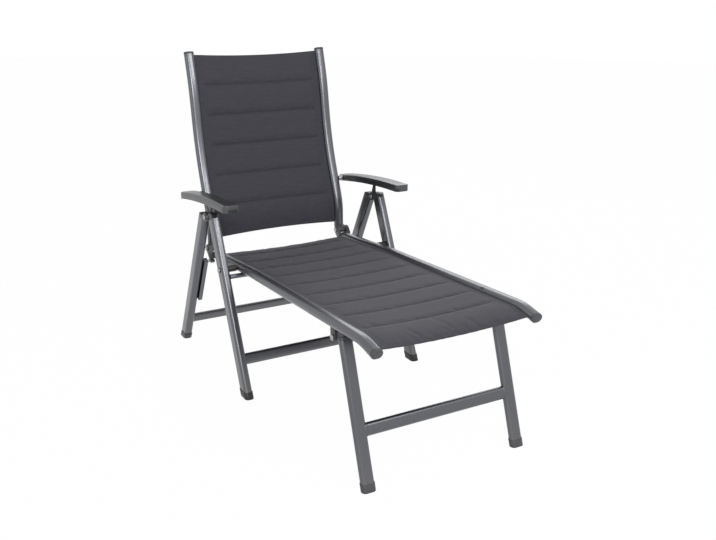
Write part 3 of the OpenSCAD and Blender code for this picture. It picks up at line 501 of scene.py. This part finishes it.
class Cut:
    """The cut of a sling: its cloth between two rails that follow the same run of steps. Half is
    half its width, ends are its two ends with the seams between them, side is the sign of its
    upper side, bow is the curve of the ends, and sag is how far its middle hangs down."""

    def __init__(self, steps, start, heading, half, ends, side, bow, sag, end_sag):
        self.steps, self.start, self.heading = steps, start, heading
        self.half, self.ends, self.side = half, ends, side
        self.bow, self.sag, self.end_sag = bow, sag, end_sag
        self.quilted = half - SEAM_BORDER

    def place(self, x, along, lift):
        """A point at x across and some way along the rails, lifted off the cloth's middle."""
        part = (along - self.ends[0]) / (self.ends[-1] - self.ends[0])
        crown = 1 - (x / self.half) ** 2
        at = along + crown * self.bow * ((1 - part) ** 4 - part ** 4)
        y, z, turn = run_at(at, self.steps, self.start, self.heading)
        lift = self.side * (lift - (self.sag + (self.end_sag - self.sag) * part ** 3) * crown)
        return x, y + math.cos(math.radians(turn)) * lift, z - math.sin(math.radians(turn)) * lift

    def lines(self):
        """Distances of the rows of points: close together at ends and seams, wider inside."""
        rows = [self.ends[0]]
        for low, high in zip(self.ends, self.ends[1:]):
            span = high - low - 4 * EDGE_ROW
            inside = int(span / ROW_STEP)
            rows += [low + EDGE_ROW, low + 2 * EDGE_ROW]
            rows += [low + 2 * EDGE_ROW + span * i / inside for i in range(1, inside)]
            rows += [high - 2 * EDGE_ROW, high - EDGE_ROW, high]
        return rows

    def columns(self):
        """Places of the points across, from rod to rod."""
        inner, half = self.quilted, self.half
        border = [inner, inner + EDGE_ROW, half - 0.02, half - 0.004, half]
        return [-x for x in border[::-1]] + list(np.linspace(-inner, inner, 52)[1:-1]) + border

    def rise(self, x, along):
        """Half the thickness: foam between the seams, puckers beside them and folded hems."""
        seam = min(range(len(self.ends)), key=lambda i: abs(along - self.ends[i]))
        gap = abs(along - self.ends[seam])
        inner = max(0.0, min(1.0, (self.half - FLAT_EDGE - abs(x)) / SIDE_RAMP)) ** 0.8
        pucker = math.sin(x * 330 + seam * 2.1) + 0.6 * math.sin(x * 571 + seam * 4.7)
        pucker *= PUCKER * math.exp(-gap / PUCKER_REACH) * min(1.0, gap / 0.004) * inner
        hem = HEM_RISE if min(along - self.ends[0], self.ends[-1] - along) < HEM else 0.0
        return CLOTH_HALF + PANEL_RISE * inner * min(1.0, gap / SEAM_RAMP) ** 0.6 + pucker + hem


def sew_sling(name, cut):
    """The closed double sheet of a sling, with its seams and borders in the group "held"."""
    rows, columns = cut.lines(), cut.columns()
    top, bottom, held, flat = [], [], [], []
    for along in rows:
        gap = min(abs(along - e) for e in cut.ends)
        for x in columns:
            rise = cut.rise(x, along)
            top.append(cut.place(x, along, rise))
            bottom.append(cut.place(x, along, -UNDER_SHARE * rise))
            on_seam = gap < 0.0005 and abs(x) < cut.quilted + 0.001
            held.append(on_seam or abs(x) > cut.half - HELD_EDGE)
            flat.append((x, along))
    wide, count = len(columns), len(top)
    faces = []
    for i in range(len(rows) - 1):
        for j in range(wide - 1):
            a = i * wide + j
            faces.append((a, a + 1, a + wide + 1, a + wide))
            faces.append((count + a, count + a + wide, count + a + wide + 1, count + a + 1))
    rim = list(range(wide)) + [i * wide + wide - 1 for i in range(1, len(rows))]
    rim += [(len(rows) - 1) * wide + j for j in range(wide - 2, -1, -1)]
    rim += [i * wide for i in range(len(rows) - 2, 0, -1)]
    faces += [(b, a, a + count, b + count) for a, b in zip(rim, rim[1:] + rim[:1])]
    sling = make_piece(name, top + bottom, faces)
    mesh = sling.data
    layer = mesh.uv_layers.new(name="cloth")
    for loop in mesh.loops:
        layer.data[loop.index].uv = flat[loop.vertex_index % count]
    # Painted shade: a point value that is 1 on each seam and fades within a few millimetres of it
    # and past the quilted width. The cloth finish uses it to darken the seam valleys.
    seam_shade_layer = mesh.attributes.new("painted_seam_shade", "FLOAT", "POINT")
    for index, (x, along) in enumerate(flat + flat):
        gap = min(abs(along - e) for e in cut.ends[1:-1])
        past = max(0.0, abs(x) - cut.quilted)
        seam_shade_layer.data[index].value = math.exp(-gap / 0.0026 - past / 0.003)
    pins = sling.vertex_groups.new(name="held")
    pins.add([i for i, pinned in enumerate(held + held) if pinned], 1.0, "REPLACE")
    bpy.ops.object.shade_smooth()
    return sling


SWELL_FRAMES = 20


def fill_panels(sling, pressure, cap):
    """Cloth simulation: air pressure swells the panels between the held seams, up to a cap."""
    cloth = sling.modifiers.new("swell", "CLOTH")
    cloth.settings.quality = 6
    cloth.settings.mass = 0.25
    cloth.settings.tension_stiffness = 12
    cloth.settings.compression_stiffness = 12
    cloth.settings.bending_stiffness = 0.8
    cloth.settings.vertex_group_mass = "held"
    cloth.settings.use_pressure = True
    cloth.settings.uniform_pressure_force = pressure
    cloth.settings.shrink_min = -0.02
    cloth.settings.effector_weights.gravity = 0
    before = np.array([v.co[:] for v in sling.data.vertices])
    for step in range(1, SWELL_FRAMES + 1):
        bpy.context.scene.frame_set(step)
    shape = sling.evaluated_get(bpy.context.evaluated_depsgraph_get()).data
    move = np.array([v.co[:] for v in shape.vertices]) - before
    size = np.linalg.norm(move, axis=1, keepdims=True)
    move *= np.minimum(1, cap / np.maximum(size, 1e-9))
    sling.modifiers.remove(cloth)
    sling.data.vertices.foreach_set("co", (before + move).ravel())
    sling.data.update()
    bpy.context.scene.frame_set(1)


seat_length = run_length(seat_steps)
seat_seams = [seat_length - 0.140 - 0.1147 * i for i in range(8, -1, -1)]
seat_ends = [0.002, *seat_seams, seat_length - 0.008]
seat_cut = Cut(seat_steps, seat_start, seat_heading, half=0.2449, ends=seat_ends, side=1,
               bow=0.005, sag=0.006, end_sag=0.014)
seat_sling = sew_sling("quilted_seat_sling", seat_cut)
fill_panels(seat_sling, pressure=3.0, cap=0.0012)

cloth_finish, tree = new_finish("charcoal_mesh_cloth")
flat = add_node(tree, "UVMap", uv_map="cloth")
across = add_node(tree, "SeparateXYZ", {0: flat}, output="X")
along = add_node(tree, "SeparateXYZ", {0: flat}, output="Y")
warp = (across * (math.pi / THREAD)).math("SINE")
weft = (along * (math.pi / THREAD)).math("SINE")
over = (warp * weft).math("GREATER_THAN", 0.0)
weave = over * warp.math("ABSOLUTE") + (1 - over) * weft.math("ABSOLUTE")
stretched = add_node(tree, "Mapping", {"Vector": flat, "Scale": (14.0, 240.0, 1.0)})
streak = noise(tree, stretched, 1, 5)
cloud = noise(tree, flat, 9, 3)
fluff = noise(tree, flat, 700)
fade = add_node(tree, "MapRange", {"Value": streak, "From Min": 0.3, "From Max": 0.7})
light = 0.45 * weave + 0.4 * fade + 0.15 * fluff
tone = mixed(tree, light, (0.017, 0.017, 0.022), (0.060, 0.059, 0.074))
tone = mixed(tree, 0.3 * cloud, tone, (0.034, 0.034, 0.042))
# Painted shade: along the seams the cloth colour is darkened towards near-black, so the seam
# valleys read as shaded.
painted_seam_shade = add_node(tree, "Attribute", output="Fac", attribute_name="painted_seam_shade")
tone = mixed(tree, 0.7 * painted_seam_shade, tone, (0.012, 0.012, 0.015))
bump = add_node(tree, "Bump", {"Strength": 0.4, "Distance": 0.0008, "Height": weave + 0.5 * streak})
cloth_shader = add_node(tree, "BsdfPrincipled", {
    "Base Color": tone,
    "Roughness": 0.6 + 0.15 * streak,
    "Normal": bump,
    "Sheen Weight": 0.08,
    "Sheen Roughness": 0.45,
    "Specular IOR Level": 0.35,
})
finish_with(tree, cloth_shader)


def dress_sling(sling, node, body):
    """Cloth finish, one subdivision, and the sling's place in the frame."""
    sling.data.materials.append(cloth_finish)
    hold(sling)
    smooth = sling.modifiers.new("smooth", "SUBSURF")
    smooth.levels = smooth.render_levels = 1
    bpy.ops.object.modifier_apply(modifier="smooth")
    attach(sling, body)
    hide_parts(node)


dress_sling(seat_sling, "seat_sling", "seat_frame")

# Seat stitching: rows of stitches in twisted thread along every seam and beside both hems. Each
# stitch is a small arched piece of thread that dips into the cloth.
thread_finish, tree = new_finish("charcoal_thread")
place = add_node(tree, "TexCoord", output="Object")
twist = noise(tree, place, 2600)
tone = mixed(tree, twist, (0.016, 0.016, 0.02), (0.06, 0.06, 0.07))
bump = add_node(tree, "Bump", {"Strength": 0.4, "Distance": 0.0003, "Height": twist})
finish_with(tree, add_node(tree, "BsdfPrincipled", {
    "Base Color": tone, "Roughness": 0.45 + 0.2 * twist, "Normal": bump}))


STITCH_STEP, STITCH_R, STITCH_SIDES = 0.0044, 0.00045, 6
STITCH_ARCH = (0, -0.0006), (0.22, 0.0004), (0.5, 0.0006), (0.78, 0.0004), (1, -0.0006)


def stitch_rows(name, cut, body):
    """All stitches of a sling as one object that moves with a body."""
    inner, first, last = cut.quilted, cut.ends[0], cut.ends[-1]
    rows = [((-inner, seam), (inner, seam)) for seam in cut.ends[1:-1]]
    rows += [((-cut.half + 0.006, at), (cut.half - 0.006, at)) for at in (first + HEM, last - HEM)]
    points, faces = [], []
    for a, b in rows:
        a, b = np.array(a), np.array(b)
        count = int(np.linalg.norm(b - a) / STITCH_STEP)
        for i in range(count):
            start, end = a + (b - a) * (i + 0.12) / count, a + (b - a) * (i + 0.88) / count
            spine = [np.array(cut.place(*(start + (end - start) * t), CLOTH_HALF + lift))
                     for t, lift in STITCH_ARCH]
            way = spine[-1] - spine[0]
            way /= np.linalg.norm(way)
            middle = (start + end) / 2
            up = np.array(cut.place(*middle, 0.01)) - np.array(cut.place(*middle, 0))
            up /= np.linalg.norm(up)
            side = np.cross(way, up)
            base, sides = len(points), STITCH_SIDES
            for point in spine:
                for k in range(sides):
                    turn = math.tau * k / sides
                    rim = point + STITCH_R * (math.cos(turn) * side + math.sin(turn) * up)
                    points.append(tuple(rim))
            for ring in range(len(spine) - 1):
                for k in range(sides):
                    q, r = base + ring * sides + k, base + ring * sides + (k + 1) % sides
                    faces.append((q, q + sides, r + sides, r))
            faces.append(tuple(base + k for k in range(sides)))
            faces.append(tuple(len(points) - 1 - k for k in range(sides)))
    stitches = make_piece(name, points, faces, thread_finish)
    bpy.ops.object.shade_smooth()
    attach(stitches, body)


stitch_rows("seat_stitches", seat_cut, "seat_frame")

# Back sling: made like the seat's, with six panels. It follows the curve of the back rails and
# swells a little more than the seat.
back_length = run_length(back_steps)
back_seams = [back_length - 0.109 - 0.1103 * i for i in range(4, -1, -1)]
back_ends = [0.011, *back_seams, back_length - 0.002]
back_cut = Cut(back_steps, back_start, back_heading, half=0.2439, ends=back_ends, side=-1,
               bow=0.007, sag=0.006, end_sag=0.006)
back_sling = sew_sling("quilted_back_sling", back_cut)
fill_panels(back_sling, pressure=4.0, cap=0.0022)
dress_sling(back_sling, "back_sling", "backrest")

# Back stitching: the same rows of stitches on the back sling, along its five seams and beside
# both hems.
stitch_rows("back_stitches", back_cut, "backrest")

bpy.context.scene.view_settings.view_transform = "Standard"
